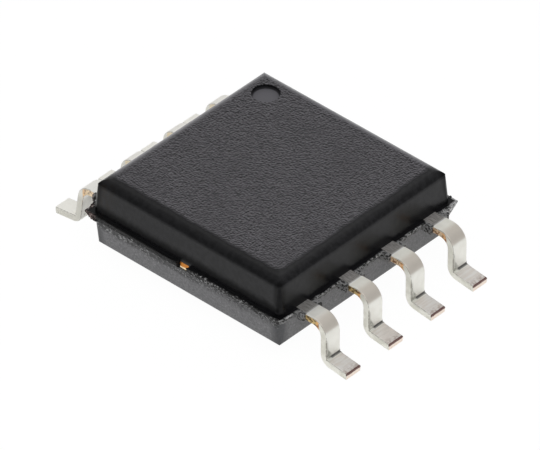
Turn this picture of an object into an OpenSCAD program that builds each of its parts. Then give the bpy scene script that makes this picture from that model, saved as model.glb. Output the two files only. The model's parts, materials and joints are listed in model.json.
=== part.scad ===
// Serial flash memory chip in an 8-lead gull-wing package, 5.3 mm wide body.
// Millimetres, +Z up. The origin is the middle of the package on its seating
// plane. X runs across the two lead rows and Y runs along them. Leads 1 to 4
// are on the -X side from +Y to -Y, and leads 5 to 8 on the +X side from -Y
// to +Y.

/* [Moulded body] */
// Width of the body at its parting plane, the same along X and Y
body_w = 5.13; // [5.1:0.01:5.2]
// Height of the upper half, from the top of the lead frame to the top face
upper_h = 0.79; // [0.72:0.01:0.95]
// Depth of the lower half, from the underside of the lead frame to the bottom face
lower_h = 0.64; // [0.6:0.01:0.8]
// Draft of the upper half's four walls, in degrees
upper_draft = 5.8; // [4:0.2:8]
// Draft of the lower half's four walls, in degrees
lower_draft = 5.4; // [4:0.2:8]
// Radius between the top face and the walls
top_edge_r = 0.18; // [0.1:0.01:0.25]
// Radius between the bottom face and the walls
bottom_edge_r = 0.08; // [0.05:0.01:0.15]
// Radius of the upper half's four upright corners at its foot
upper_corner_r = 0.12; // [0.1:0.01:0.2]
// Radius of the lower half's four upright corners at its foot
lower_corner_r = 0.16; // [0.1:0.01:0.2]
// Offset of the body along X from the middle of the lead frame, as moulded
body_shift = 0.035; // [0:0.005:0.08]

/* [Pin 1 dimple and ejector mark] */
// Diameter of the pin 1 dimple
dimple_d = 0.61; // [0.4:0.01:0.8]
// Depth of the pin 1 dimple
dimple_depth = 0.1; // [0.04:0.01:0.15]
// Distance of the dimple's centre from the body's edges at the parting plane
dimple_inset = 0.65; // [0.62:0.01:0.9]
// Slope of the dimple's wall from upright, in degrees
dimple_draft = 12; // [5:1:25]
// Diameter of the ejector pin's mark in the bottom face
ejector_d = 1.0; // [0.8:0.1:1.5]
// Depth of the ejector pin's mark
ejector_depth = 0.03; // [0.02:0.01:0.05]

/* [Parting flange] */
// Width of the resin flange that stands out from the walls, at its upper side
flange_out = 0.1; // [0.06:0.01:0.14]
// Width of the flange at its underside
flange_foot = 0.03; // [0.01:0.01:0.06]
// Radius of the flange's two whole corners, at its upper side
flange_corner_r = 0.2; // [0.15:0.01:0.25]
// Width of the resin web left beside each lead, inside the sheared dam bar
web_w = 0.07; // [0.04:0.01:0.1]
// Distance between the two lines where the dam bars were sheared
dam_span = 5.78; // [5.7:0.01:5.9]
// How far the web of a ragged corner stands out from the flange
horn_out = 0.06; // [0.04:0.01:0.1]
// Length along the lead row over which that web narrows
horn_run = 0.12; // [0.08:0.01:0.2]
// Length of the ragged corner along the side that has no leads
horn_back = 0.22; // [0.1:0.01:0.3]
// Width of the chipped edge under each ragged corner
chip_w = 0.2; // [0.1:0.01:0.25]
// Width of the break in the flange where a tie bar was cut
tie_break_w = 0.3; // [0.28:0.01:0.4]

/* [Lead frame] */
// Spacing of the leads along a row
lead_spacing = 1.27; // [1.2:0.01:1.27]
// Thickness of the lead frame
frame_t = 0.17; // [0.15:0.01:0.2]
// Width of a lead outside the body
lead_w = 0.42; // [0.35:0.01:0.48]
// Rounding of a lead's four long edges
lead_edge_r = 0.035; // [0.02:0.005:0.05]
// Distance over the toes of the two rows
toe_span = 8; // [7.8:0.01:8.1]
// Outward lean of the legs of leads 1 to 4, in degrees from upright
lean_1_to_4 = 8.4; // [0:0.2:10]
// Outward lean of the legs of leads 5 to 8
lean_5_to_8 = 0; // [0:0.2:10]
// Reach of a foot, from the outer face of its leg to the toe
foot_reach = 0.55; // [0.5:0.01:0.62]
// Gap between the seating plane and the bottom face
standoff = 0.29; // [0.15:0.01:0.3]
// Inside radius of the bend at the shoulder
shoulder_r = 0.2; // [0.15:0.01:0.25]
// Inside radius of the bend at the heel
heel_r = 0.1; // [0.06:0.01:0.15]
// Depth of the forming tool's mark in the corner of the heel
heel_mark = 0.005; // [0.002:0.001:0.01]
// Slope of the foot down to its toe, in degrees
foot_angle = 7; // [2:0.5:8]
// Length of the flat pressed under the toe, which sits on the seating plane
toe_flat = 0.15; // [0.1:0.01:0.2]

/* [Inner fingers] */
// Gap between the die paddle and the fingers' tips
finger_gap = 0.25; // [0.2:0.01:0.3]
// Length of the widened bond pad at the tip of a finger
finger_pad_l = 0.5; // [0.4:0.01:0.6]
// Width of the widened bond pad
finger_pad_w = 0.8; // [0.6:0.01:0.9]
// Shift of the outer fingers' pads towards the middle of the row
finger_pad_shift = 0.15; // [0:0.01:0.19]

/* [Die paddle] */
// Size of the paddle along X
paddle_x = 2.9; // [2.7:0.01:3.1]
// Size of the paddle along Y
paddle_y = 3.5; // [3.3:0.01:3.6]
// Radius of the paddle's corners
paddle_corner_r = 0.15; // [0.05:0.01:0.3]
// Drop of the paddle below the plane of the leads
paddle_drop = 0.2; // [0.15:0.01:0.25]
// Width of the two tie bars
tie_w = 0.24; // [0.2:0.01:0.3]
// Rounding of a tie bar's long edges
tie_edge_r = 0.02; // [0.01:0.005:0.04]
// Slope of a tie bar between the paddle and the plane of the leads, in degrees
tie_slope = 35; // [30:1:40]
// Inside radius of a tie bar's two bends
tie_bend_r = 0.08; // [0.05:0.01:0.1]
// Depth of a tie bar's cut end behind the wall
tie_recess = 0.01; // [0:0.01:0.03]

/* [Die and wires] */
// Size of the memory die along X
die_x = 2.3; // [2:0.05:2.5]
// Size of the memory die along Y
die_y = 2.8; // [2.4:0.05:3]
// Thickness of the memory die
die_t = 0.25; // [0.2:0.01:0.28]
// Thickness of the adhesive under the die
attach_t = 0.03; // [0.02:0.005:0.04]
// Width of the adhesive fillet round the die
attach_rim = 0.06; // [0.03:0.01:0.1]
// Distance of the die's bond pads from its edges
die_pad_inset = 0.12; // [0.1:0.01:0.2]
// Spacing of the die's bond pads along each edge
die_pad_spacing = 0.8; // [0.7:0.01:0.82]
// Diameter of the bond wires
wire_d = 0.036; // [0.03:0.001:0.05]
// Diameter of the ball bonds
ball_d = 0.09; // [0.08:0.01:0.12]
// Height of the ball bonds
ball_h = 0.03; // [0.02:0.005:0.04]
// Rise of the wire loops above the die
loop_h = 0.16; // [0.12:0.01:0.2]

/* [Hidden] */
$fn = 32;
eps = 0.01;
leads_per_row = 4;
joint_lap = 0.005;
joint_step = 0.001;

// Heights
frame_bottom = standoff + lower_h;
frame_top = frame_bottom + frame_t;
frame_mid = frame_bottom + frame_t / 2;
body_top = frame_top + upper_h;
paddle_top = frame_top - paddle_drop;
die_bottom = paddle_top + attach_t;
die_top = die_bottom + die_t;

// Plan sizes, as half widths
wall = body_w / 2;
flange_half = wall + flange_out;
dam_half = dam_span / 2;
dimple_at = wall - dimple_inset;

// The lead's bends, on the centre line of its thickness
leg_out_x = toe_span / 2 - foot_reach;
leg_mid_x = leg_out_x - frame_t / 2;
shoulder_mid_r = shoulder_r + frame_t / 2;
heel_mid_r = heel_r + frame_t / 2;
toe_mid_x = toe_span / 2 - frame_t / 2 * sin(foot_angle);
toe_mid_z = frame_t / 2 * cos(foot_angle) - toe_flat * tan(foot_angle);
foot_l = (toe_mid_x - leg_mid_x - heel_mid_r * (1 - sin(foot_angle))) / cos(foot_angle);
foot_rise = foot_l * sin(foot_angle);
crease_z = toe_mid_z + frame_t / 2 * cos(foot_angle) + foot_reach * tan(foot_angle);

// The inner fingers
finger_tip_x = paddle_x / 2 + finger_gap;
finger_root_x = finger_tip_x + finger_pad_l;
finger_corner_r = 0.05;

// The tie bars' ramps, on the centre line of their thickness
tie_mid_r = tie_bend_r + frame_t / 2;
tie_ramp_l = (paddle_drop - 2 * tie_mid_r * (1 - cos(tie_slope))) / sin(tie_slope);
tie_ramp_run = 2 * tie_mid_r * sin(tie_slope) + tie_ramp_l * cos(tie_slope);
tie_start_l = 0.04;
tie_end = wall - tie_recess;
tie_end_l = tie_end - paddle_y / 2 - tie_start_l - tie_ramp_run;

// The bond wires
wire_r = wire_d / 2;
wire_joint_r = 1.05 * wire_r;
die_pad_x = die_x / 2 - die_pad_inset;
bond_x = finger_tip_x + finger_pad_l / 2;
loop_top = die_top + loop_h;
loop_drop = 0.03;
loop_share = 0.72;
stitch_h = 0.012;

// The straight run of a leg that leans, and where its shoulder starts
function leg_l(lean) =
    (frame_mid - shoulder_mid_r * (1 - sin(lean)) - toe_mid_z - foot_rise
        - heel_mid_r * (cos(foot_angle) - sin(lean))) / cos(lean);
function shoulder_x(lean) =
    leg_mid_x + heel_mid_r * (1 - cos(lean)) - leg_l(lean) * sin(lean)
        - shoulder_mid_r * cos(lean);

// Which side a lead is on, and where it is along Y
function lead_side(pin) = pin <= leads_per_row ? -1 : 1;
function lead_place(pin) = pin <= leads_per_row ? pin - 1 : 2 * leads_per_row - pin;
function row_offset(pin) = (leads_per_row - 1) / 2 - lead_place(pin);
function lead_y(pin) = row_offset(pin) * lead_spacing;
function leg_lean(pin) = pin <= leads_per_row ? lean_1_to_4 : lean_5_to_8;
function is_outer(pin) = lead_place(pin) == 0 || lead_place(pin) == leads_per_row - 1;
function pad_y(pin) = lead_y(pin) - (is_outer(pin) ? sign(lead_y(pin)) * finger_pad_shift : 0);
function die_pad_y(pin) = row_offset(pin) * die_pad_spacing;

all_pins = [1:2 * leads_per_row];

// Rectangle centred on the origin with round corners
module rounded_rect(x, y, r) {
    square([x - 2 * r, y], center = true);
    square([x, y - 2 * r], center = true);
    for (sx = [-1, 1])
        for (sy = [-1, 1])
            translate([sx * (x / 2 - r), sy * (y / 2 - r)])
                circle(r = r);
}

// A strip of lead frame that starts at the origin and runs along +Z with its
// upper side towards +X. Each step is [straight length, turn, inside radius],
// and a positive turn bends the strip towards its underside. The straight runs
// reach a little way into the bends, which are a hair fuller.
module strip(steps, width, edge_r, i = 0) {
    straight = steps[i][0];
    turn = steps[i][1];
    mid_r = steps[i][2] + frame_t / 2;
    lap_before = i > 0 ? joint_lap : 0;
    lap_after = turn != 0 ? joint_lap : 0;
    translate([0, 0, -lap_before])
        linear_extrude(lap_before + straight + lap_after)
            rounded_rect(frame_t, width, edge_r);
    if (turn != 0)
        translate([0, 0, straight])
            rotate([0, 0, turn > 0 ? 0 : 180])
                translate([-mid_r, 0, 0])
                    rotate([90, 0, 0])
                        rotate_extrude(angle = abs(turn))
                            translate([mid_r, 0])
                                rounded_rect(
                                    frame_t + 2 * joint_step,
                                    width + 2 * joint_step,
                                    edge_r + joint_step
                                );
    if (i + 1 < len(steps))
        translate([-sign(turn) * mid_r * (1 - cos(turn)), 0, straight + mid_r * sin(abs(turn))])
            rotate([0, -turn, 0])
                strip(steps, width, edge_r, i + 1);
}

// Turns a strip so that it runs along +X with its upper side up
module run_along_x() {
    rotate([180, 0, 0])
        rotate([0, 90, 0])
            children();
}

// Plan of an inner finger: bond pad at the tip, then the neck to the strip
module finger_plan(pin) {
    pad_shift = pad_y(pin) - lead_y(pin);
    translate([finger_tip_x + finger_pad_l / 2, pad_shift])
        rounded_rect(finger_pad_l, finger_pad_w, finger_corner_r);
    translate([finger_root_x - finger_corner_r - eps, -lead_w / 2])
        square([finger_corner_r + 2 * eps, lead_w]);
}

// What the forming tool presses away: the inside corner between the leg and the foot
module heel_tool(lean) {
    translate([leg_out_x, lead_w, crease_z])
        rotate([90, 0, 0])
            linear_extrude(2 * lead_w)
                polygon([
                    [-heel_mark, -heel_mark],
                    [heel_r, -heel_mark - heel_r * tan(foot_angle)],
                    [heel_r, heel_r],
                    [-heel_mark - heel_r * tan(lean), heel_r]
                ]);
}

// One lead: inner finger, straight root, shoulder, leg, heel and foot
module lead_shape(pin) {
    side = lead_side(pin);
    lean = leg_lean(pin);
    translate([0, lead_y(pin), 0])
        mirror([side > 0 ? 0 : 1, 0, 0])
            difference() {
                union() {
                    translate([0, 0, frame_bottom])
                        linear_extrude(frame_t)
                            finger_plan(pin);
                    translate([finger_root_x, 0, frame_mid])
                        run_along_x()
                            strip([
                                [shoulder_x(lean) - finger_root_x, 90 - lean, shoulder_r],
                                [leg_l(lean), lean + foot_angle - 90, heel_r],
                                [foot_l, 0, 0]
                            ], lead_w, lead_edge_r);
                }
                heel_tool(lean);
                translate([leg_mid_x, -lead_w, -frame_t])
                    cube([foot_reach + frame_t, 2 * lead_w, frame_t]);
            }
}

module lead(pin) {
    color([0.80, 0.79, 0.75])
        lead_shape(pin);
}

// One tie bar, from the paddle's edge up its ramp to the wall at +Y
module tie_bar() {
    translate([0, paddle_y / 2 - eps, paddle_top - frame_t / 2])
        rotate([0, 0, 90])
            run_along_x()
                strip([
                    [tie_start_l + eps, -tie_slope, tie_bend_r],
                    [tie_ramp_l, tie_slope, tie_bend_r],
                    [tie_end_l, 0, 0]
                ], tie_w, tie_edge_r);
}

module paddle_shape() {
    translate([0, 0, paddle_top - frame_t])
        linear_extrude(frame_t)
            rounded_rect(paddle_x, paddle_y, paddle_corner_r);
    for (a = [0, 180])
        rotate([0, 0, a])
            tie_bar();
}

module die_paddle() {
    color([0.78, 0.50, 0.30])
        paddle_shape();
}

module attach_shape() {
    translate([-die_x / 2 - attach_rim, -die_y / 2 - attach_rim, paddle_top])
        cube([die_x + 2 * attach_rim, die_y + 2 * attach_rim, attach_t]);
}

module die_attach() {
    color([0.62, 0.63, 0.64])
        attach_shape();
}

module die_shape() {
    translate([-die_x / 2, -die_y / 2, die_bottom])
        cube([die_x, die_y, die_t]);
}

module memory_die() {
    color([0.30, 0.32, 0.38])
        die_shape();
}

// Round wire from one point to another, with a ball at the second
module wire_segment(from, to) {
    run = to - from;
    length = norm(run);
    translate(from)
        rotate([0, acos(run[2] / length), atan2(run[1], run[0])])
            cylinder(r = wire_r, h = length);
    translate(to)
        sphere(r = wire_joint_r);
}

// One bond wire: ball on the die, loop, and stitch on the finger's pad
module wire_shape(pin) {
    side = lead_side(pin);
    pad = [side * die_pad_x, die_pad_y(pin), die_top];
    stitch = [side * bond_x, pad_y(pin), frame_top];
    kink = [pad[0], pad[1], loop_top];
    shoulder = kink + loop_share * ([stitch[0], stitch[1], loop_top - loop_drop] - kink);
    translate(pad)
        cylinder(d = ball_d, h = ball_h);
    translate(stitch)
        cylinder(d = ball_d, h = stitch_h);
    wire_segment(pad + [0, 0, wire_r], kink);
    wire_segment(kink, shoulder);
    wire_segment(shoulder, stitch + [0, 0, wire_r]);
}

module bond_wire(pin) {
    color([0.88, 0.70, 0.30])
        wire_shape(pin);
}

// Section of a half of the body, with its foot on the X axis and its face up
module half_section(height, draft, edge_r) {
    arc_x = wall - height * tan(draft) - edge_r * (1 - sin(draft)) / cos(draft);
    wall_end = [arc_x + edge_r * cos(draft), height - edge_r * (1 - sin(draft))];
    polygon([
        [-wall, 0],
        [wall, 0],
        wall_end,
        [arc_x, height],
        [-arc_x, height],
        [-wall_end[0], wall_end[1]]
    ]);
    for (side = [-1, 1])
        translate([side * arc_x, height - edge_r])
            circle(r = edge_r);
}

// The walls that face X or -X, and the face between them
module half_bar(height, draft, edge_r) {
    translate([0, wall, 0])
        rotate([90, 0, 0])
            linear_extrude(body_w)
                half_section(height, draft, edge_r);
}

// Square column whose four upright corners are round about middles at the given
// distance along X and Y. Their radius goes from foot_r to top_r.
module corner_column(height, middle, foot_r, top_r) {
    reach = middle + max(foot_r, top_r);
    for (a = [0, 90])
        rotate([0, 0, a])
            translate([-reach, -middle, 0])
                cube([2 * reach, 2 * middle, height]);
    for (sx = [-1, 1])
        for (sy = [-1, 1])
            translate([sx * middle, sy * middle, 0])
                cylinder(r1 = foot_r, r2 = top_r, h = height);
}

// A drafted half of the body, from its wide foot at z = 0 up to its face. Its
// upright corners sharpen with the draft.
module drafted_half(height, draft, edge_r, corner_r) {
    intersection() {
        half_bar(height, draft, edge_r);
        rotate([0, 0, 90])
            half_bar(height, draft, edge_r);
        corner_column(height, wall - corner_r, corner_r, corner_r - height * tan(draft));
    }
}

// The flange's side that faces X or -X, narrower at its underside
module flange_bar() {
    foot_half = wall + flange_foot;
    translate([0, flange_half, 0])
        rotate([90, 0, 0])
            linear_extrude(2 * flange_half)
                polygon([
                    [-foot_half, 0],
                    [foot_half, 0],
                    [flange_half, frame_t],
                    [-flange_half, frame_t]
                ]);
}

// The even part of the flange, all round the body
module flange_ring() {
    foot_r = flange_corner_r - (flange_out - flange_foot);
    intersection() {
        flange_bar();
        rotate([0, 0, 90])
            flange_bar();
        corner_column(frame_t, flange_half - flange_corner_r, foot_r, flange_corner_r);
    }
}

// Plan of the ragged web at the corner where X and Y are positive, with the
// body's middle at the given X
module horn_plan(middle) {
    lead_edge = lead_y(2 * leads_per_row) + lead_w / 2;
    web_edge = lead_edge + web_w;
    tip = middle + flange_half;
    inside = wall - upper_corner_r;
    polygon([
        [middle + inside, lead_edge],
        [dam_half, lead_edge],
        [dam_half, web_edge],
        [tip + horn_out, web_edge + horn_run],
        [tip, flange_half],
        [tip - horn_back, flange_half],
        [middle + inside - horn_back, inside]
    ]);
}

// What is chipped away under that corner
module horn_chip(middle) {
    tip_t = 0.03;
    reach = chip_w / sqrt(2);
    translate([middle + flange_half - reach, flange_half - reach, 0])
        rotate([0, 0, 45])
            rotate([0, -atan((frame_t - tip_t) / chip_w), 0])
                translate([0, -flange_half / 2, -frame_t])
                    cube([2 * chip_w, flange_half, frame_t]);
}

// The webs beside the leads and at the ragged corners
module webs() {
    for (pin = all_pins)
        translate([lead_side(pin) * dam_half / 2, lead_y(pin), frame_t / 2])
            cube([dam_half, lead_w + 2 * web_w, frame_t], center = true);
    for (side = [-1, 1])
        rotate([0, 0, side > 0 ? 0 : 180])
            difference() {
                linear_extrude(frame_t)
                    horn_plan(side * body_shift);
                horn_chip(side * body_shift);
            }
}

// The flange between the two halves, broken where the tie bars were cut
module flange() {
    difference() {
        union() {
            translate([body_shift, 0, 0])
                flange_ring();
            webs();
        }
        for (side = [-1, 1])
            translate([0, side * (tie_end + flange_out), frame_t / 2])
                cube([tie_break_w, 2 * flange_out, 2 * frame_t], center = true);
    }
}

module dimple() {
    translate([body_shift - dimple_at, dimple_at, body_top - dimple_depth])
        cylinder(
            d1 = dimple_d - 2 * dimple_depth * tan(dimple_draft),
            d2 = dimple_d + 2 * eps * tan(dimple_draft),
            h = dimple_depth + eps
        );
}

module moulded_body() {
    color([0.26, 0.26, 0.27])
        difference() {
            union() {
                translate([body_shift, 0, frame_top])
                    drafted_half(upper_h, upper_draft, top_edge_r, upper_corner_r);
                translate([body_shift, 0, frame_bottom])
                    mirror([0, 0, 1])
                        drafted_half(lower_h, lower_draft, bottom_edge_r, lower_corner_r);
                translate([0, 0, frame_bottom])
                    flange();
            }
            dimple();
            translate([body_shift, 0, standoff - eps])
                cylinder(d = ejector_d, h = ejector_depth + eps);
            for (pin = all_pins) {
                lead_shape(pin);
                wire_shape(pin);
            }
            paddle_shape();
            attach_shape();
            die_shape();
        }
}

moulded_body();
for (pin = all_pins) {
    lead(pin);
    bond_wire(pin);
}
die_paddle();
die_attach();
memory_die();
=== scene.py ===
"""Looks for the flash memory chip: camera, light, floor, materials and the broken edge of its flange.

Everything is in metres in the CAD frame. +Z is up, X runs across the two lead rows and Y along them. The
photograph shows the side at -Y on its left and the side at +X on its right. The row of leads at -X is behind.
"""
import json
import math
import random
from types import SimpleNamespace

import bmesh
import bpy
from mathutils import Matrix, Vector, noise


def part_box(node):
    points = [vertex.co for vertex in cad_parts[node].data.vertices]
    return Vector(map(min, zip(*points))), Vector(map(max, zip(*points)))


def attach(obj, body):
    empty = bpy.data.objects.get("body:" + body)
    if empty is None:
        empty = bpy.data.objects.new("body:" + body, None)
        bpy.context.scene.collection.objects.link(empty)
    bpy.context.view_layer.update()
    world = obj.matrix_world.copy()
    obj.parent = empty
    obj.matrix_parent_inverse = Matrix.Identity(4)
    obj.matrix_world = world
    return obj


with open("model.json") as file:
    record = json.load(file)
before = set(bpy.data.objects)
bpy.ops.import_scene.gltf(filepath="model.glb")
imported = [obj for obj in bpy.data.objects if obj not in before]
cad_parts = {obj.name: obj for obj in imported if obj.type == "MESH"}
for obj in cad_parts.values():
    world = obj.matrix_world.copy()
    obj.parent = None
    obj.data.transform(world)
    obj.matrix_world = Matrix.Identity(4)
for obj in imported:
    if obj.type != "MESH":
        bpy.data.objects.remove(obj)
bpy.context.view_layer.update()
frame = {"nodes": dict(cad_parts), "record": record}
MM = 0.001

# ---------------------------------------------------------------- places on the part

body_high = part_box("moulded_body")[1]
TOP_Z = body_high.z
DAM_HALF = body_high.x      # the webs beside the leads reach out to the line of the sheared dam bars
FLANGE_HALF = body_high.y
LEAD_TOP_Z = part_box("lead_5")[1].z
TOE_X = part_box("lead_5")[1].x

BODY_SHIFT = 0.035 * MM     # of the body along X, from the middle of the lead frame
FLANGE_OUT = 0.1 * MM
WALL = FLANGE_HALF - FLANGE_OUT
CORNER_R = 0.12 * MM
FLANGE_CORNER_R = 0.2 * MM

FRAME_T = 0.17 * MM
LEAD_BOTTOM_Z = LEAD_TOP_Z - FRAME_T
LEAD_W = 0.42 * MM
LEAD_SPACING = 1.27 * MM
LEADS_PER_ROW = 4
WEB_W = 0.07 * MM
TIE_HALF = 0.12 * MM

# The eroded part of the top face: half its width, its shift towards -X and +Y, and its corner radius
ERODED_HALF = 2.275 * MM
ERODED_SHIFT = 0.085 * MM
ERODED_CORNER_R = 0.17 * MM
DIMPLE = (-1.88 * MM, 1.915 * MM)
DIMPLE_R = 0.25 * MM

# Places on a lead: the front of its leg, the crease at the heel, the toe's upper edge, the end of the shear mark,
# and the darker strip's top, its width and how much wider it gets towards the foot
LEG_FACE_X = TOE_X - 0.55 * MM
CREASE_Z = 0.218 * MM
TOE_TOP_Z = 0.15 * MM
SHEAR_END_X = 3.22 * MM
STRIP_TOP_Z = 0.62 * MM
STRIP_W = 0.05 * MM
STRIP_SPREAD = 0.13 * MM

# ---------------------------------------------------------------- camera

CAMERA = {
    "azimuth": 42.4459,
    "elevation": 38.4191,
    "roll": 0.0429,
    "distance": 208.3038 * MM,
    "target": Vector((0.1423, -0.1682, 0.757)) * MM,
    "lens": 686.617,
}


def add_camera(azimuth, elevation, roll, distance, target, lens):
    a, e, r = math.radians(azimuth), math.radians(elevation), math.radians(roll)
    back = Vector((math.sin(a) * math.cos(e), -math.cos(a) * math.cos(e), math.sin(e)))
    level_right = Vector((math.cos(a), math.sin(a), 0))
    level_up = back.cross(level_right)
    right = math.cos(r) * level_right + math.sin(r) * level_up
    up = back.cross(right)
    data = bpy.data.cameras.new("camera")
    data.lens = lens
    data.sensor_width = 36
    data.clip_start = 0.01
    data.clip_end = 10
    cam = bpy.data.objects.new("camera", data)
    turn = Matrix((right, up, back)).transposed().to_4x4()
    cam.matrix_world = Matrix.Translation(target + back * distance) @ turn
    bpy.context.collection.objects.link(cam)
    bpy.context.scene.camera = cam


add_camera(**CAMERA)

# ---------------------------------------------------------------- node helpers


class Nodes:
    """Short calls for building one material's or the world's node tree. Masks run from 0 to 1."""

    def __init__(self, tree):
        self.tree = tree
        tree.nodes.clear()

    def add(self, kind, inputs=None, **settings):
        node = self.tree.nodes.new("ShaderNode" + kind)
        for name, value in settings.items():
            setattr(node, name, value)
        for name, value in (inputs or {}).items():
            self.put(node.inputs[name], value)
        return node

    def put(self, socket, value):
        if isinstance(value, bpy.types.NodeSocket):
            self.tree.links.new(value, socket)
        else:
            socket.default_value = value

    def math(self, operation, *values):
        node = self.add("Math", operation=operation)
        for socket, value in zip(node.inputs, values):
            self.put(socket, value)
        return node.outputs[0]

    def fold(self, operation, values):
        total = values[0]
        for value in values[1:]:
            total = self.math(operation, total, value)
        return total

    def plus(self, *values):
        return self.fold("ADD", values)

    def times(self, *values):
        return self.fold("MULTIPLY", values)

    def largest(self, *values):
        return self.fold("MAXIMUM", values)

    def minus(self, a, b):
        return self.math("SUBTRACT", a, b)

    def size(self, a):
        return self.math("ABSOLUTE", a)

    def length(self, a, b):
        return self.math("SQRT", self.plus(self.times(a, a), self.times(b, b)))

    def outside(self, *masks):
        return self.minus(1.0, self.largest(*masks))

    def swing(self, value, amount):
        """A noise around 0.5 turned into one around 0, times amount."""
        return self.times(self.minus(value, 0.5), amount)

    def ramp(self, value, low, high, to_low=0.0, to_high=1.0):
        """Smooth step between two values, either of which may be the higher one."""
        node = self.add("MapRange", interpolation_type="SMOOTHSTEP")
        inputs = {"Value": value, "From Min": low, "From Max": high, "To Min": to_low, "To Max": to_high}
        for name, given in inputs.items():
            self.put(node.inputs[name], given)
        return node.outputs["Result"]

    def past(self, value, place, low, high, to_low=0.0, to_high=1.0):
        """Smooth step between two distances past a place: place in metres, distances in millimetres."""
        return self.ramp(value, place + low * MM, place + high * MM, to_low, to_high)

    def mix(self, factor, a, b):
        """Mix of two colours."""
        node = self.add("Mix", data_type="RGBA", clamp_factor=True)
        for index, value in ((0, factor), (6, a), (7, b)):
            self.put(node.inputs[index], value)
        return node.outputs[2]

    def blend(self, factor, a, b):
        """Mix of two numbers."""
        node = self.add("Mix", data_type="FLOAT", clamp_factor=True)
        for index, value in ((0, factor), (2, a), (3, b)):
            self.put(node.inputs[index], value)
        return node.outputs[0]

    def noise(self, vector, size, detail=2.0, roughness=0.5):
        """Noise whose features are about size metres across, centred on 0.5."""
        node = self.add("TexNoise", {"Vector": vector})
        node.inputs["Scale"].default_value = 1 / size
        node.inputs["Detail"].default_value = detail
        node.inputs["Roughness"].default_value = roughness
        return node.outputs[0]

    def cells(self, vector, size):
        """Cells about size metres across: each one's own random value, and the distance from its middle."""
        node = self.add("TexVoronoi", {"Vector": vector})
        node.inputs["Scale"].default_value = 1 / size
        return self.add("SeparateXYZ", {"Vector": node.outputs["Color"]}).outputs[0], node.outputs["Distance"]

    def place(self):
        """Object coordinates and their X, Y and Z."""
        where = self.add("TexCoord").outputs["Object"]
        split = self.add("SeparateXYZ", {"Vector": where})
        return where, split.outputs[0], split.outputs[1], split.outputs[2]

    def stretch(self, vector, x, y, z):
        node = self.add("Mapping", {"Vector": vector})
        node.inputs["Scale"].default_value = (x, y, z)
        return node.outputs[0]

    def from_lead(self, y):
        """Distance along Y from the middle of the nearest lead."""
        row = self.plus(y, LEADS_PER_ROW * LEAD_SPACING / 2)
        return self.minus(self.math("FLOORED_MODULO", row, LEAD_SPACING), LEAD_SPACING / 2)


def rgb(r, g, b):
    return (r, g, b, 1.0)


def grey(v):
    return (v, v, v, 1.0)


def new_material(name):
    material = bpy.data.materials.new(name)
    material.use_nodes = True
    n = Nodes(material.node_tree)
    shader = n.add("BsdfPrincipled")
    output = n.add("OutputMaterial", {"Surface": shader.outputs[0]})
    return material, n, shader, output


# ---------------------------------------------------------------- the moulding compound

# Painted light and shade on the eroded face's fine ridges: a noise less the same noise a step away, in this
# direction, as if the ridges were lit from it
PAINTED_LIGHT_WAY = Vector((-0.675, 0.738, 0))
RELIEF_STEP = 0.009 * MM

# Tones of the eroded face: its grain, with painted shade and painted light on its ridges
ERODED_SHADE_AND_DARK_GRAIN, ERODED_LIT_AND_PALE_GRAIN = rgb(0.0075, 0.0070, 0.0085), rgb(0.148, 0.143, 0.155)
ERODED_WORN = rgb(0.050, 0.048, 0.053)
POLISHED, POLISHED_CORNER = rgb(0.0025, 0.0025, 0.0035), rgb(0.0085, 0.0055, 0.0037)
POLISHED_CLOUD = rgb(0.0090, 0.0090, 0.0105)
# Painted reflection of the bright surroundings on the top's far edges
RIM_REFLECTION = rgb(0.25, 0.245, 0.26)
DIMPLE_FLOOR = rgb(0.122, 0.119, 0.131)
# The lower half's satin grey: partly its finish, partly painted light from the floor
SATIN_DARK_PAINTED_LIT, SATIN_LIGHT_PAINTED_LIT = rgb(0.138, 0.138, 0.144), rgb(0.222, 0.220, 0.226)
SATIN_EDGE, SATIN_SPECK = rgb(0.060, 0.062, 0.066), grey(0.36)
# Pale chips differ on the dark run, the left half of the side at -Y
UNDER_DARK, UNDER_CHIP, UNDER_CHIP_DARK_RUN = grey(0.026), grey(0.26), grey(0.34)
BROKEN_DARK, BROKEN_CHIP, BROKEN_CHIP_DARK_RUN = grey(0.012), grey(0.28), grey(0.95)
CREST_CHIP = grey(0.50)
WEB_DARK, WEB_CHIP = grey(0.045), grey(0.20)
PALE_HORN_DARK, PALE_HORN_CHIP = grey(0.16), grey(0.75)
BROWN_HORN_DARK, BROWN_HORN_CHIP = rgb(0.022, 0.012, 0.011), rgb(0.40, 0.31, 0.29)
FILLER = rgb(0.26, 0.24, 0.22)
# Painted shade for the polished walls, where their reflections are dark
PAINTED_SHADE_BLACK = grey(0.003)
NEAR_LEDGE = rgb(0.0100, 0.0100, 0.0110)

# Across plus Y, in millimetres, where a ragged corner's colour begins and where it is full
HORN_FROM, HORN_FULL = 5.02, 5.12
# How far the two walls of an upright edge lean in together, for each unit of height
LOWER_DRAFT, UPPER_DRAFT = 0.19, 0.203


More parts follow.
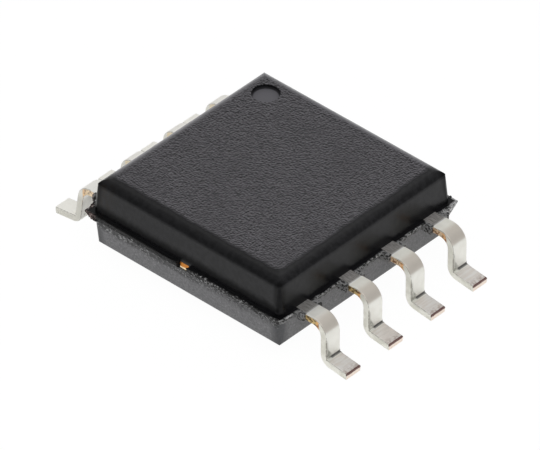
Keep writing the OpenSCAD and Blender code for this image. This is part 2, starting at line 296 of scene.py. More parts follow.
def resin_places(n):
    """Coordinates, sides and noises that the looks of the resin share."""
    where, x, y, z = n.place()
    across = n.minus(x, BODY_SHIFT)
    ax, ay = n.size(across), n.size(y)
    wave = n.swing(n.noise(where, 0.2 * MM, detail=3), 0.1 * MM)
    grain = n.noise(where, 0.044 * MM, detail=3, roughness=0.6)
    fine = n.noise(where, 0.024 * MM, detail=2)
    folds = n.noise(n.stretch(where, 0.8, 1.2, 1), 0.064 * MM, detail=3)
    lumps = n.noise(where, 0.075 * MM, detail=3)
    rubble, _ = n.cells(where, 0.034 * MM)
    return SimpleNamespace(
        where=where, x=x, y=y, z=z, across=across,
        reach=n.largest(ax, ay),
        corner=n.plus(ax, ay),          # grows towards all four upright edges
        diagonal=n.plus(across, y),     # grows from the left corner of the photograph to its right one
        on_x=n.past(n.minus(ax, ay), 0, -0.05, 0.05),       # the sides at -X and +X
        dark_run=n.times(n.past(y, -WALL, 0.1, 0.0), n.past(x, 0, 0.0, 0.9, 1.0, 0.0)),
        wave=wave, grain=grain, lumps=lumps, rubble=rubble,
        leather=n.plus(n.times(grain, 0.5), n.plus(n.times(fine, 0.15), n.times(folds, 0.35))),
        pits=n.noise(where, 0.1 * MM, detail=2),
        rise=n.plus(n.minus(z, LEAD_TOP_Z), n.times(wave, 0.8)),
    )


def by_side(n, s, on_y, on_dark_run, on_x):
    """One value for the sides at -Y and +Y, one for the dark run of the first, and one for the other two."""
    return n.blend(s.on_x, n.blend(s.dark_run, on_y, on_dark_run), on_x)


def eroded_face(n, s):
    """The matt part of the top face. It stops short of the edges at +X and -Y, with round corners."""
    sides = n.size(n.plus(s.across, ERODED_SHIFT)), n.size(n.minus(s.y, ERODED_SHIFT))
    over = [n.largest(n.minus(side, ERODED_HALF - ERODED_CORNER_R), 0.0) for side in sides]
    outline = n.plus(n.length(*over), s.wave)
    mask = n.times(n.past(s.z, TOP_Z, -0.03, -0.012), n.past(outline, ERODED_CORNER_R, -0.06, 0.06, 1.0, 0.0))
    ahead, behind = [
        n.noise(n.add("VectorMath", {0: s.where, 1: PAINTED_LIGHT_WAY * step}, operation="ADD").outputs[0],
                0.04 * MM, detail=3, roughness=0.6)
        for step in (RELIEF_STEP, -RELIEF_STEP)]
    # Painted light and shade on the ridges, over the grain's own tone
    ridge_light_and_shade = n.plus(n.minus(ahead, behind), n.swing(s.leather, 0.6))
    colour = n.mix(n.ramp(ridge_light_and_shade, -0.12, 0.12), ERODED_SHADE_AND_DARK_GRAIN, ERODED_LIT_AND_PALE_GRAIN)
    cloud = n.noise(s.where, 1.1 * MM, detail=3)
    return mask, n.mix(n.ramp(cloud, 0.45, 0.75, 0.0, 0.3), colour, ERODED_WORN)


def polished_resin(n, s):
    """Colour of the polished edge and upper walls, browner at the left corner."""
    colour = n.mix(n.past(s.diagonal, 0, -4.3, -4.9), POLISHED, POLISHED_CORNER)
    return n.mix(n.ramp(s.pits, 0.38, 0.62, 0.0, 0.9), colour, POLISHED_CLOUD)


def painted_rim_reflection(n, s):
    """Painted reflection: the top's edges at -X and +Y, pale with the bright surroundings they reflect."""
    far = n.largest(n.times(s.across, -1.0), s.y)
    return n.times(n.past(far, 0, 2.26, 2.40), n.past(n.size(s.diagonal), 0, 4.3, 4.7, 1.0, 0.0),
                   n.past(s.z, TOP_Z, -0.09, -0.04))


def dimple_floor(n, s):
    """The smooth floor of the pin 1 dimple."""
    off = n.length(n.minus(s.x, DIMPLE[0]), n.minus(s.y, DIMPLE[1]))
    return n.times(n.past(off, DIMPLE_R, 0.0, 0.05, 1.0, 0.0),
                   n.times(n.past(s.z, TOP_Z, -0.07, -0.05, 1.0, 0.0), n.past(s.z, LEAD_TOP_Z, 0.0, 0.1)))


def lower_half(n, s):
    """Satin with pale grains of filler, darker on its upright edges, dusty and broken under the flange. Its pale
    grey is partly painted light from the floor.
    """
    mask = n.past(s.z, LEAD_BOTTOM_Z, -0.02, 0.0, 1.0, 0.0)
    # Pale grey that is partly painted light from the floor
    colour = n.mix(n.ramp(s.grain, 0.3, 0.7), SATIN_DARK_PAINTED_LIT, SATIN_LIGHT_PAINTED_LIT)
    specks = n.noise(s.where, 0.034 * MM, detail=2)
    colour = n.mix(n.ramp(specks, 0.62, 0.70, 0.0, 0.6), colour, SATIN_SPECK)
    corner = n.plus(s.corner, n.times(n.minus(LEAD_BOTTOM_Z, s.z), LOWER_DRAFT))
    colour = n.mix(n.times(n.past(corner, 2 * WALL, -0.32, -0.1), 0.75), colour, SATIN_EDGE)

    under_low, under_high = [by_side(n, s, *(LEAD_BOTTOM_Z + drop * MM for drop in drops))
                             for drops in ((-0.26, -0.25, -0.06), (-0.08, -0.14, 0.12))]
    under = n.ramp(n.plus(s.z, n.times(s.wave, 1.6)), under_low, under_high)
    under = n.times(under, n.ramp(s.lumps, 0.4, 0.55, 1.0, n.blend(s.dark_run, 0.5, 0.8)))
    chip = n.mix(s.dark_run, UNDER_CHIP, UNDER_CHIP_DARK_RUN)
    under_colour = n.mix(n.ramp(s.rubble, n.blend(s.dark_run, 0.6, 0.65), 1.0), UNDER_DARK, chip)
    return mask, n.mix(n.times(under, n.blend(s.on_x, 0.9, 0.55)), colour, under_colour)


def broken_resin(n, s):
    """Broken resin on the flange's side, its rim and the webs beside the leads."""
    rim = n.past(n.plus(s.reach, s.wave), WALL, 0.045, 0.085)
    side = n.times(n.past(s.z, LEAD_TOP_Z, -0.012, -0.004, 1.0, 0.0), n.past(s.reach, WALL, -0.006, 0.004))
    mask = n.times(n.largest(rim, side), n.past(s.z, LEAD_BOTTOM_Z, -0.03, -0.01))

    chips = n.plus(s.rubble, n.swing(s.lumps, 0.6))
    fresh = n.plus(by_side(n, s, 0.76, 1.03, 0.38), n.past(s.z, 0, 0.97, 1.08, 0.0, 0.08))
    colour = n.mix(n.ramp(chips, n.minus(fresh, 0.1), n.plus(fresh, 0.14)),
                   BROKEN_DARK, n.mix(s.dark_run, BROKEN_CHIP, BROKEN_CHIP_DARK_RUN))

    # Pale specks on the crest between the leads, and duller webs beside them
    crest = n.times(n.past(s.z, LEAD_TOP_Z, -0.07, -0.04),
                    n.past(n.size(n.from_lead(s.y)), LEAD_W / 2, 0.06, 0.12))
    colour = n.mix(n.times(crest, s.on_x, n.ramp(chips, 0.75, 0.85)), colour, CREST_CHIP)
    web = n.times(s.on_x, n.past(n.size(s.y), 0, 2.42, 2.5, 1.0, 0.5), n.outside(crest), 0.4)
    patchy = n.ramp(chips, 0.1, 0.9)
    colour = n.mix(web, colour, n.mix(patchy, WEB_DARK, WEB_CHIP))

    # The ragged corners: the right one is pale, the left one brown
    pale_horn = n.times(n.past(s.diagonal, 0, HORN_FROM, HORN_FULL), 0.9)
    colour = n.mix(pale_horn, colour, n.mix(patchy, PALE_HORN_DARK, PALE_HORN_CHIP))
    brown_horn = n.times(n.past(s.diagonal, 0, -HORN_FROM, -HORN_FULL), 0.8)
    return mask, n.mix(brown_horn, colour, n.mix(n.ramp(chips, 0.4, 1.1), BROWN_HORN_DARK, BROWN_HORN_CHIP))


def filler_grains(n, s):
    """A few pale grains in the walls, one in some of the cells."""
    value, distance = n.cells(s.where, 0.42 * MM)
    return n.times(n.ramp(distance, 0.03, 0.055, 1.0, 0.0), n.ramp(value, 0.80, 0.82))


def painted_shade_on_walls(n, s):
    """Painted shade at the foot of the upper walls and along the top's edge at -Y, where their reflections are
    dark, and darkening on their upright edges.
    """
    on_y, on_x = n.past(s.rise, 0, 0.11, 0.31, 0.95, 0.0), n.past(s.rise, 0, 0.0, 0.36, 0.36, 0.0)
    foot = n.times(n.blend(s.on_x, on_y, on_x), n.past(s.rise, 0, 0.02, 0.10, 0.15, 1.0))
    band = n.times(n.outside(s.on_x),
                   n.times(n.past(s.y, 0, -1.0, -2.0), n.past(s.z, TOP_Z, -0.17, -0.12, 0.0, 0.25)))
    corner = n.plus(s.corner, n.times(n.minus(s.z, LEAD_TOP_Z), UPPER_DRAFT))
    return n.largest(foot, band, n.past(corner, 2 * WALL, -0.22, -0.09, 0.0, 0.55))


def mould_compound():
    """Black epoxy: eroded top face, polished edge and upper walls, satin lower half, broken flange."""
    material, n, shader, _ = new_material("mould_compound")
    s = resin_places(n)
    eroded, eroded_colour = eroded_face(n, s)
    dimple = dimple_floor(n, s)
    low, low_colour = lower_half(n, s)
    broken, broken_colour = broken_resin(n, s)
    polished = n.outside(eroded, broken, low, dimple)
    # Painted shade on the polished walls, in colour and in metallic
    painted_shade = n.times(painted_shade_on_walls(n, s), polished)
    ledge = n.times(n.past(s.rise, 0, 0.0, 0.2, 0.6, 0.0), polished)

    # From the bottom layer up: where it lies, its colour, and its roughness where that differs
    colour, rough = polished_resin(n, s), 0.25
    for mask, over, over_rough in (
        (eroded, eroded_colour, 0.7),
        # painted reflection on the top's far edges
        (n.times(painted_rim_reflection(n, s), 0.85), RIM_REFLECTION, None),
        (dimple, DIMPLE_FLOOR, 0.6),
        (low, low_colour, 0.45),
        (broken, broken_colour, 0.7),
        (n.times(filler_grains(n, s), 0.8), FILLER, None),
        # painted shade on the walls
        (painted_shade, PAINTED_SHADE_BLACK, None),
        (ledge, NEAR_LEDGE, None),
    ):
        colour = n.mix(mask, colour, over)
        if over_rough is not None:
            rough = n.blend(mask, rough, over_rough)

    depth = n.plus(n.times(eroded, 2.4), n.plus(n.times(broken, 1.5), 0.13))
    texture = n.times(n.plus(s.leather, n.times(s.pits, 0.5)), depth)
    bump = n.add("Bump", {"Height": texture, "Strength": 1.0, "Distance": 0.013 * MM})
    n.put(shader.inputs["Base Color"], colour)
    n.put(shader.inputs["Roughness"], rough)
    n.put(shader.inputs["Metallic"], painted_shade)      # the painted shade, as a black metal, has no sheen
    n.put(shader.inputs["Normal"], bump.outputs[0])
    shader.inputs["Specular IOR Level"].default_value = 0.27
    return material


# ---------------------------------------------------------------- the leads

TIN_DARK, TIN_LIGHT = rgb(0.92, 0.91, 0.85), rgb(0.97, 0.965, 0.91)
FLANK_LIGHT, FLANK_DARK = rgb(0.90, 0.89, 0.82), rgb(0.76, 0.75, 0.67)
# Painted shade of the tin round the shoulder's bend, in a warm tint
BEND_SHADE_TIN = rgb(0.63, 0.575, 0.51)
ROOT_DARK, ROOT_LIGHT = rgb(0.24, 0.23, 0.22), rgb(0.44, 0.425, 0.41)
DAM_LINE = grey(0.95)
GOLD_DARK, GOLD_LIGHT = rgb(0.11, 0.07, 0.025), rgb(0.70, 0.52, 0.24)
SALMON_DARK, SALMON_LIGHT = rgb(0.30, 0.15, 0.07), rgb(0.92, 0.70, 0.47)
ORANGE_DARK, ORANGE_LIGHT = rgb(0.42, 0.16, 0.05), rgb(0.95, 0.52, 0.20)
# Painted light: the far row's bare copper, paled as if lit strongly from behind
FAR_LIT_COPPER = rgb(0.93, 0.86, 0.68)
LEG_STRIP_TIN = rgb(0.27, 0.28, 0.24)
CREASE_SHADE = rgb(0.09, 0.085, 0.085)
ARRIS_SHADE = rgb(0.22, 0.19, 0.15)
# Painted light: the far row's tin and flanks, paler as if lit strongly from behind
FAR_LIT_TIN, FAR_LIT_FLANK = rgb(1.0, 0.99, 0.95), rgb(0.84, 0.83, 0.77)
FOOT_BARS, FOOT_GREY, FOOT_PINK = rgb(0.78, 0.735, 0.685), rgb(0.84, 0.82, 0.79), rgb(0.86, 0.79, 0.73)
FOOT_END = rgb(0.38, 0.28, 0.24)
EDGE_LINE = rgb(0.36, 0.35, 0.31)
TOE_COPPER = rgb(0.96, 0.84, 0.74)
TARNISH = rgb(0.11, 0.035, 0.03)


def lead_places(n):
    """Coordinates, faces and noises that the looks of the leads share."""
    where, x, y, z = n.place()
    normal = n.add("SeparateXYZ", {"Vector": n.add("NewGeometry").outputs["Normal"]}).outputs
    return SimpleNamespace(
        where=where, x=x, y=y, z=z,
        ax=n.size(x),
        off=n.from_lead(y),
        far_row=n.past(x, 0, -0.1, 0.1, 1.0, 0.0),
        normal=normal,
        flank=n.ramp(n.size(normal[1]), 0.75, 0.95),
        ahead=n.ramp(n.size(normal[0]), 0.8, 0.95),
        upward=n.ramp(normal[2], 0.6, 0.9),
        fine=n.noise(where, 0.02 * MM, detail=3),
        mottle=n.noise(where, 0.06 * MM, detail=3),
        soft=n.noise(where, 0.22 * MM, detail=2),
        wide=n.noise(where, 0.9 * MM, detail=0),
        streaks=n.noise(n.stretch(where, 0.12, 1, 1), 0.02 * MM, detail=2),
    )


def plating(n, s):
    """Tin, greyer on the flanks, with painted shade in a warm tint round the shoulder's bend."""
    tin = n.mix(n.ramp(s.soft, 0.3, 0.7), TIN_DARK, TIN_LIGHT)
    tin = n.mix(s.flank, tin, n.mix(n.ramp(s.soft, 0.35, 0.65), FLANK_LIGHT, FLANK_DARK))
    # Painted shade round the shoulder's bend
    bend = n.times(n.past(s.z, LEAD_TOP_Z, -0.26, -0.19),
                   n.times(n.past(s.ax, LEG_FACE_X, -0.42, -0.2), n.ramp(s.flank, 0.0, 1.0, 1.0, 0.0)))
    return n.mix(n.times(bend, 0.85), tin, BEND_SHADE_TIN)


def dam_line(n, s):
    """Bright line across the top of the lead, where the dam bar was cut off."""
    off_line = n.size(n.minus(s.ax, DAM_HALF + 0.012 * MM))
    return n.times(n.past(off_line, 0, 0.006, 0.014, 0.7, 0.0), s.upward)


def sheared_copper(n, s):
    """Copper laid bare where the dam bar was cut from the flank, more orange towards its end, and paled by
    painted light on the far row.
    """
    end = n.plus(s.ax, n.swing(s.soft, 0.16 * MM))
    mask = n.times(s.flank, n.past(end, SHEAR_END_X, 0.0, 0.04, 1.0, 0.0))
    patchy = n.ramp(s.mottle, 0.38, 0.58)
    copper = n.mix(n.ramp(s.wide, 0.42, 0.56),
                   n.mix(patchy, GOLD_DARK, GOLD_LIGHT), n.mix(patchy, SALMON_DARK, SALMON_LIGHT))
    orange = n.mix(n.ramp(s.mottle, 0.42, 0.52), ORANGE_DARK, ORANGE_LIGHT)
    copper = n.mix(n.past(end, SHEAR_END_X, -0.1, -0.02, 0.0, 0.7), copper, orange)
    # Painted light on the far row's copper
    far_lit = n.times(s.far_row, n.past(s.y, 0, -1.7, -1.5, 0.35, 0.85))
    return mask, n.mix(far_lit, copper, FAR_LIT_COPPER)


def leg_edge_strip(n, s):
    """Darker grey-green strip down the front of the leg along its -Y edge, wider towards the foot."""
    low = n.past(s.z, CREASE_Z, 0.0, 0.3, 1.0, 0.0)
    edge = n.plus(n.times(low, STRIP_SPREAD), -LEAD_W / 2 + STRIP_W)
    return n.times(n.past(n.minus(s.off, edge), 0, -0.025, 0.02, 1.0, 0.0),
                   n.times(s.ahead, n.past(s.z, STRIP_TOP_Z, 0.0, 0.1, 1.0, 0.0)),
                   n.past(n.minus(s.ax, LEG_FACE_X), 0, 0.03, 0.05, 1.0, 0.0),
                   n.ramp(s.mottle, 0.35, 0.6, 0.8, 0.35))


def heel_crease_shade(n, s):
    """Painted shade in the crease pressed across the heel, which stops short of the darker strip at the leg's -Y
    edge.
    """
    above = n.size(n.minus(s.z, CREASE_Z + 0.012 * MM))
    ahead = n.size(n.minus(s.ax, LEG_FACE_X))
    return n.times(n.past(above, 0, 0.016, 0.03, 1.0, 0.0), n.past(ahead, 0, 0.03, 0.045, 1.0, 0.0),
                   n.past(s.off, 0, -0.09, -0.04), 0.85)


def leg_arris(n, s):
    """Dark arris between the leg's front and its -Y flank, on the front row."""
    arris = n.times(n.ramp(s.normal[1], -0.35, -0.5), n.ramp(s.normal[0], 0.35, 0.5))
    run = n.times(n.past(s.z, 0, 0.66, 0.76, 1.0, 0.0), n.past(s.z, 0, 0.2, 0.3))
    return n.times(arris, run, n.ramp(s.mottle, 0.3, 0.6, 0.35, 0.85))


def near_foot(n, s):
    """Greyer top of the foot, with faint bars along it."""
    mask = n.times(s.upward, n.past(s.ax, LEG_FACE_X, 0.02, 0.08), n.outside(s.far_row))
    bars = n.noise(n.stretch(s.where, 1, 0.15, 1), 0.05 * MM, detail=2)
    plain = n.mix(n.ramp(s.wide, 0.42, 0.56), FOOT_GREY, FOOT_PINK)
    return mask, n.mix(n.ramp(bars, 0.35, 0.65), FOOT_BARS, plain)


def edge_lines(n, s):
    """Thin darker lines along the two upper edges of the strip."""
    at_edge = n.times(n.past(n.size(s.off), LEAD_W / 2, -0.022, -0.008), n.ramp(s.flank, 0.0, 0.3, 1.0, 0.0))
    patchy = n.ramp(s.mottle, 0.38, 0.55, 0.25, 0.85)
    return n.times(at_edge, n.times(n.past(s.ax, DAM_HALF, 0.1, 0.15), patchy))


def toe_tarnish(n, s):
    """Dark upper edge of the cut toe, on the front row."""
    level = n.plus(s.z, n.times(s.mottle, 0.04 * MM))
    return n.times(n.past(s.x, TOE_X, -0.03, -0.018), n.past(level, TOE_TOP_Z, -0.045, -0.02), 0.93)


def tinned_lead():
    """Matt tin over copper, with bare copper where the dam bar and the toe were sheared."""
    material, n, shader, _ = new_material("tinned_lead")
    s = lead_places(n)
    root = n.past(s.ax, DAM_HALF, -0.05, 0.03, 1.0, 0.0)
    sheared, copper = sheared_copper(n, s)
    # Painted light: the far row's tin, paler than the front row's
    behind = n.times(s.far_row, n.ramp(sheared, 0.0, 1.0, 0.8, 0.0))
    foot, foot_colour = near_foot(n, s)
    foot_end = n.times(foot, n.past(s.ax, TOE_X, -0.22, -0.02), n.ramp(s.mottle, 0.42, 0.6, 0.1, 0.6))
    toe = n.times(s.ahead, n.past(s.ax, TOE_X, -0.05, -0.04))

    # From the bottom layer up
    colour = plating(n, s)
    for mask, over in (
        (root, n.mix(n.ramp(s.streaks, 0.3, 0.7), ROOT_DARK, ROOT_LIGHT)),
        (dam_line(n, s), DAM_LINE),
        (sheared, copper),
        (leg_edge_strip(n, s), LEG_STRIP_TIN),
        (heel_crease_shade(n, s), CREASE_SHADE),
        (leg_arris(n, s), ARRIS_SHADE),
        (behind, n.mix(s.flank, FAR_LIT_TIN, FAR_LIT_FLANK)),
        (foot, foot_colour),
        (foot_end, FOOT_END),
        (edge_lines(n, s), EDGE_LINE),
        (toe, TOE_COPPER),
        (toe_tarnish(n, s), TARNISH),
    ):
        colour = n.mix(mask, colour, over)

    # Rougher on top of each row's leads but the first one from -Y, and on the legs at the back
    tops = n.times(n.past(s.ax, LEG_FACE_X, -0.3, -0.15, 0.25, 0.0),
                   n.times(s.upward, n.past(s.y, 0, -1.4, -1.2)))
    far_legs = n.times(s.far_row, n.past(s.z, LEAD_TOP_Z, -0.4, -0.25, 0.3, 0.0))
    rough = n.plus(n.ramp(s.fine, 0.2, 0.8, 0.5, 0.6), n.largest(tops, far_legs))
    bump = n.add("Bump", {"Height": n.plus(s.fine, s.streaks), "Strength": 0.35, "Distance": 0.003 * MM})
    n.put(shader.inputs["Base Color"], colour)
    n.put(shader.inputs["Roughness"], rough)
    n.put(shader.inputs["Normal"], bump.outputs[0])
    shader.inputs["Metallic"].default_value = 0.7
    return material


# ---------------------------------------------------------------- the other materials


def plain(name, colours, mottle, gloss, metallic=0.0):
    """Two colours in a soft mottle of the size given, and a roughness that wanders between two values."""
    material, n, shader, _ = new_material(name)
    where = n.place()[0]
    n.put(shader.inputs["Base Color"], n.mix(n.ramp(n.noise(where, mottle, detail=3), 0.3, 0.7), *colours))
    n.put(shader.inputs["Roughness"], n.ramp(n.noise(where, 0.03 * MM), 0.2, 0.8, *gloss))
    shader.inputs["Metallic"].default_value = metallic
    return material


def copper_frame():
    """Copper of the frame, and the cut ends of the tie bars: tarnished on top, with a burr below whose pale
    colour is a painted highlight.
    """
    material, n, shader, _ = new_material("copper_frame")
    where, _, y, z = n.place()
    mottle = n.noise(where, 0.05 * MM, detail=3)
    colour = n.mix(n.ramp(mottle, 0.3, 0.7), rgb(0.62, 0.33, 0.17), rgb(0.78, 0.46, 0.27))
    level = n.plus(z, n.swing(mottle, 0.08 * MM))
    # The burr's pale colour is a painted highlight, light caught on its lip
    burr, orange, brown, black = (
        rgb(0.95, 0.80, 0.55), rgb(0.58, 0.22, 0.035), rgb(0.24, 0.10, 0.03), rgb(0.02, 0.014, 0.010))
    cut_colour = n.mix(n.past(level, LEAD_BOTTOM_Z, 0.035, 0.055), burr, orange)
    cut_colour = n.mix(n.past(level, LEAD_TOP_Z, -0.04, -0.015), cut_colour, brown)
    cut_colour = n.mix(n.past(z, LEAD_TOP_Z, -0.006, -0.003), cut_colour, black)
    cut = n.past(n.size(y), WALL, -0.03, -0.02)
    n.put(shader.inputs["Base Color"], n.mix(cut, colour, cut_colour))
    n.put(shader.inputs["Roughness"], n.ramp(mottle, 0.2, 0.8, 0.3, 0.5))
    shader.inputs["Metallic"].default_value = 1.0
    return material


MATERIALS = {
    "mould_compound": mould_compound(),
    "tinned_lead": tinned_lead(),
    "copper_frame": copper_frame(),
    "die_adhesive": plain("die_adhesive", (grey(0.42), grey(0.55)), mottle=0.05 * MM, gloss=(0.5, 0.6)),
    "silicon_die": plain("silicon_die", (rgb(0.12, 0.13, 0.17), rgb(0.18, 0.19, 0.24)),
                         mottle=0.05 * MM, gloss=(0.15, 0.25)),
    "gold_wire": plain("gold_wire", (rgb(0.80, 0.55, 0.18), rgb(0.90, 0.68, 0.28)),
                       mottle=0.08 * MM, gloss=(0.2, 0.35), metallic=1.0),
}
for part in frame["record"]["subparts"]:
    frame["nodes"][part["node"]].material_slots[0].material = MATERIALS[part["material_slot"]]

# ---------------------------------------------------------------- broken edge of the flange

# Section of the broken side: distance out from the wall and height above the underside of the lead frame, in
# millimetres, and what share of the full bite that point takes
SECTION = (
    (-0.030, -0.045, 0.0),
    (0.000, -0.040, 0.2),
    (0.006, -0.022, 0.5),
    (0.016, -0.006, 0.8),
    (0.029, 0.008, 1.0),
    (0.041, 0.030, 1.0),
    (0.053, 0.054, 1.0),
    (0.065, 0.079, 1.0),
    (0.077, 0.105, 1.0),
    (0.088, 0.130, 0.9),
    (0.098, 0.153, 0.7),
    (0.103, 0.168, 0.4),
    (0.095, 0.172, 0.1),
    (0.080, 0.171, 0.0),
    (0.055, 0.160, 0.0),
    (-0.030, 0.080, 0.0),
)
# Size across and depth of each noise of the bite, in millimetres
BITES = ((0.16, 0.013), (0.055, 0.014), (0.026, 0.009))
BREAK_SEEDS = (3, 7, 11, 15, 19)
STEP = 0.012 * MM
CORNER_STEPS = 24
CORNER_REACH = 0.2 * MM     # the straight runs stop this far before the walls' corner
RUN_START_X = -2.46 * MM    # clear of the ragged corner
TIE_GAP_LEFT, TIE_GAP_RIGHT = 0.03 * MM, 0.008 * MM


def corner_points(count):
    """Pairs of points round the wall's and the flange's corner, from the side at -Y to the one at +X."""
    inner = Vector((WALL - CORNER_R, -WALL + CORNER_R))
    outer = Vector((FLANGE_HALF - FLANGE_CORNER_R, -FLANGE_HALF + FLANGE_CORNER_R))
    for i in range(count + 1):
        angle = math.radians(-90 + 90 * i / count)
        out = Vector((math.cos(angle), math.sin(angle)))
        yield inner + CORNER_R * out, outer + FLANGE_CORNER_R * out


def straight_points(start, end, out):
    """Pairs of points on the wall's and on the flange's outline, along one side."""
    count = max(2, round((end - start).length / STEP))
    for i in range(count + 1):
        at = start.lerp(end, i / count)
        yield at + WALL * out, at + FLANGE_HALF * out


def broken_section(bm, inner, outer, seed):
    """One section of the broken strip, between a point on the wall and one on the flange's outline."""
    out = (outer - inner).normalized()
    ring = []
    for reach, rise, share in SECTION:
        at = inner.lerp(outer, reach * MM / FLANGE_OUT)
        z = LEAD_BOTTOM_Z + rise * MM
        spot = Vector((at.x, at.y, z)) / MM + Vector((0, 0, seed))
        bite = sum(noise.noise(spot / size) * depth for size, depth in BITES) * MM * share
        at = at + out * bite
        ring.append(bm.verts.new((at.x, at.y, z - 0.5 * bite)))
    return ring


def break_run(name, pairs, turned, seed):
    """Closed strip along the flange's side, chipped by noise."""
    bm = bmesh.new()
    rings = [broken_section(bm, inner, outer, seed) for inner, outer in pairs]
    for a, b in zip(rings, rings[1:]):
        for i in range(len(SECTION)):
            j = (i + 1) % len(SECTION)
            bm.faces.new((a[i], b[i], b[j], a[j]))
    bm.faces.new(rings[0])
    bm.faces.new(tuple(reversed(rings[-1])))
    bmesh.ops.recalc_face_normals(bm, faces=bm.faces)
    if turned:
        bmesh.ops.rotate(bm, verts=bm.verts, cent=(0, 0, 0), matrix=Matrix.Rotation(math.pi, 3, "Z"))
    bmesh.ops.translate(bm, verts=bm.verts, vec=(BODY_SHIFT, 0, 0))
    add_resin(name, bm)


def add_resin(name, bm):
    mesh = bpy.data.meshes.new(name)
    bm.to_mesh(mesh)
    bm.free()
    piece = bpy.data.objects.new(name, mesh)
    bpy.context.collection.objects.link(piece)
    mesh.materials.append(MATERIALS["mould_compound"])
    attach(piece, "root")


def break_runs():
    """Runs along the side at -Y and between the leads at +X, and the same turned half round."""
    down, right = Vector((0, -1)), Vector((1, 0))
    lead_y = [(i - (LEADS_PER_ROW - 1) / 2) * LEAD_SPACING for i in range(LEADS_PER_ROW)]
    clear = LEAD_W / 2 + WEB_W
    for turned in (False, True):
        half = "b" if turned else "a"
        tie = BODY_SHIFT if turned else -BODY_SHIFT
        tie_left, tie_right = tie - TIE_HALF - TIE_GAP_LEFT, tie + TIE_HALF + TIE_GAP_RIGHT
        runs = [
            straight_points(Vector((RUN_START_X, 0)), Vector((tie_left, 0)), down),
            [*straight_points(Vector((tie_right, 0)), Vector((WALL - CORNER_REACH, 0)), down),
             *corner_points(CORNER_STEPS),
             *straight_points(Vector((0, -WALL + CORNER_REACH)), Vector((0, lead_y[0] - clear)), right)],
        ]
        for below, above in zip(lead_y, lead_y[1:]):
            runs.append(straight_points(Vector((0, below + clear)), Vector((0, above - clear)), right))
        for i, (run, seed) in enumerate(zip(runs, BREAK_SEEDS)):
            break_run(f"break_{half}_{i + 1}", run, turned, seed)


break_runs()


CRUMB_SQUASH = ((0.7, 1.3), (0.7, 1.3), (0.6, 1.1))     # along X, Y and Z
CRUMB_LUMPINESS = 0.55
CRUMB_LUMPS = 1.1
SEED_RANGE = (0, 90)
CRUMB_FALL_POWER = 1.5      # keeps most crumbs near the flange's upper edge
CRUMB_INSET = 0.07 * MM     # of the lowest ones, since the flange's side slants


def crumb(bm, centre, size, draw):
    """One grain of broken resin: a rough lump."""
    lump = bmesh.ops.create_icosphere(bm, subdivisions=2, radius=size)["verts"]
    seed = Vector([draw.uniform(*SEED_RANGE) for _ in range(3)])
    squash = Vector([draw.uniform(*ends) for ends in CRUMB_SQUASH])
    for vert in lump:
        spread = 1 + CRUMB_LUMPINESS * noise.noise(vert.co / size * CRUMB_LUMPS + seed)
        vert.co = centre + vert.co * squash * spread


def crumbs_along(name, path, count, sizes, drop, seed):
    """Grains scattered along a line of points at the flange's upper edge, and down its side by up to drop."""
    draw = random.Random(seed)
    bm = bmesh.new()
    lengths = [(b - a).length for a, b in zip(path, path[1:])]
    for _ in range(count):
        i = draw.choices(range(len(lengths)), lengths)[0]
        at = path[i].lerp(path[i + 1], draw.random())
        fall = draw.random() ** CRUMB_FALL_POWER
        draw_in = 1 - fall * CRUMB_INSET / at.length
        centre = Vector((at.x * draw_in, at.y * draw_in, LEAD_TOP_Z - fall * drop))
        crumb(bm, centre, draw.uniform(*sizes) * MM, draw)
    bmesh.ops.recalc_face_normals(bm, faces=bm.faces)
    add_resin(name, bm)


def add_crumbs():
    """Grains round the two ragged corners and along the flange's sides at -Y and +Y."""
    rim = FLANGE_HALF - 0.006 * MM
    web_y = 1.5 * LEAD_SPACING + LEAD_W / 2 + WEB_W
    # Half and its direction, its seed, and how many grains its ragged corner has and how large they may be.
    # The left corner of the photograph, on half b, is the more crumbled one
    for half, turn, seed, horn_count, horn_size in (("a", 1, 0, 26, 0.026), ("b", -1, 1, 60, 0.046)):
        horn = [Vector((turn * (DAM_HALF - 0.02 * MM), turn * web_y))]
        horn += [Vector((turn * x + BODY_SHIFT, turn * y)) for x, y in (
            (rim + 0.05 * MM, web_y + 0.12 * MM), (rim, rim), (rim - 0.22 * MM, rim))]
        crumbs_along(f"crumbs_horn_{half}", horn, horn_count, (0.012, horn_size), FRAME_T, 5 + seed)
        for kind, ends, count, sizes, drop, first_seed in (
            ("side", (2.4, 0.2), 110, (0.006, 0.017), 0.15 * MM, 9),
            ("rim", (-0.2, -2.4), 80, (0.005, 0.014), 0.12 * MM, 21),
        ):
            path = [Vector((turn * a * MM + BODY_SHIFT, turn * rim)) for a in ends]
            crumbs_along(f"crumbs_{kind}_{half}", path, count, sizes, drop, first_seed + seed)


add_crumbs()

# ---------------------------------------------------------------- floor, world and lamp

FLOOR_HALF = 0.5
FLOOR_WHITE = 0.95          # the rest is the floor itself, with the object's shadow
LIGHT_FROM = Vector((-0.58, 0.55, 0.60)).normalized()
OVERHEAD_AT = Vector((0.035, -0.04, 0.1))


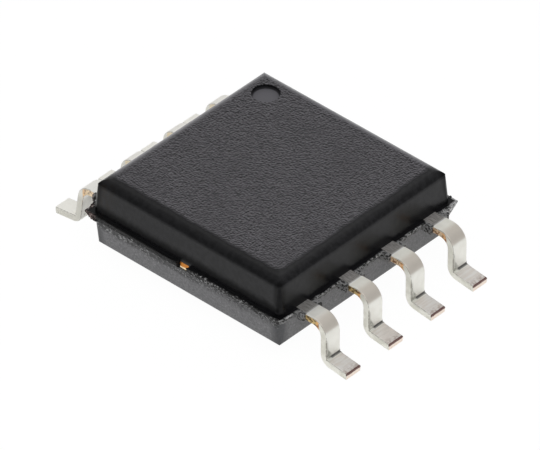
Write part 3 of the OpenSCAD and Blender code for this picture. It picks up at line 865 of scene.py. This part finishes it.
def add_floor():
    """White where it is seen directly or in a reflection, with a trace of the object's shadow."""
    mesh = bpy.data.meshes.new("floor")
    corners = [(x * FLOOR_HALF, y * FLOOR_HALF, 0) for x, y in ((-1, -1), (1, -1), (1, 1), (-1, 1))]
    mesh.from_pydata(corners, [], [(0, 1, 2, 3)])
    floor = bpy.data.objects.new("floor", mesh)
    bpy.context.collection.objects.link(floor)
    material, n, shader, output = new_material("floor")
    shader.inputs["Base Color"].default_value = grey(0.9)
    shader.inputs["Roughness"].default_value = 0.9
    shader.inputs["Specular IOR Level"].default_value = 0.1
    path = n.add("LightPath").outputs
    seen = n.largest(path["Is Camera Ray"], path["Is Glossy Ray"], path["Is Transmission Ray"])
    glow = n.add("Emission", {"Color": grey(1.0), "Strength": 1.02})
    mixed = n.add("MixShader", {"Fac": n.times(seen, FLOOR_WHITE), 1: shader.outputs[0], 2: glow.outputs[0]})
    n.put(output.inputs["Surface"], mixed.outputs[0])
    mesh.materials.append(material)


def light_world():
    """Sky that is brighter high up on the side the light comes from, and white to the camera."""
    world = bpy.data.worlds.new("studio")
    world.use_nodes = True
    bpy.context.scene.world = world
    n = Nodes(world.node_tree)
    way = n.add("TexCoord").outputs["Generated"]
    towards = n.add("VectorMath", {0: way, 1: LIGHT_FROM}, operation="DOT_PRODUCT").outputs["Value"]
    sky = n.add("Background", {"Color": grey(1.0), "Strength": n.ramp(towards, 0.2, 0.95, 0.42, 0.7)})
    white = n.add("Background", {"Color": grey(1.0), "Strength": 1.0})
    seen = n.add("LightPath").outputs["Is Camera Ray"]
    mixed = n.add("MixShader", {"Fac": seen, 1: sky.outputs[0], 2: white.outputs[0]})
    n.add("OutputWorld", {"Surface": mixed.outputs[0]})


def add_lamp(name, place, size, power):
    """A round lamp that shines at the origin."""
    data = bpy.data.lights.new(name, "AREA")
    data.shape = "DISK"
    data.size = size
    data.energy = power
    lamp = bpy.data.objects.new(name, data)
    lamp.matrix_world = Matrix.Translation(place) @ (-place).to_track_quat("-Z", "Y").to_matrix().to_4x4()
    bpy.context.collection.objects.link(lamp)


add_floor()
light_world()
add_lamp("overhead", OVERHEAD_AT, size=0.12, power=0.05)
bpy.context.scene.view_settings.view_transform = "Standard"
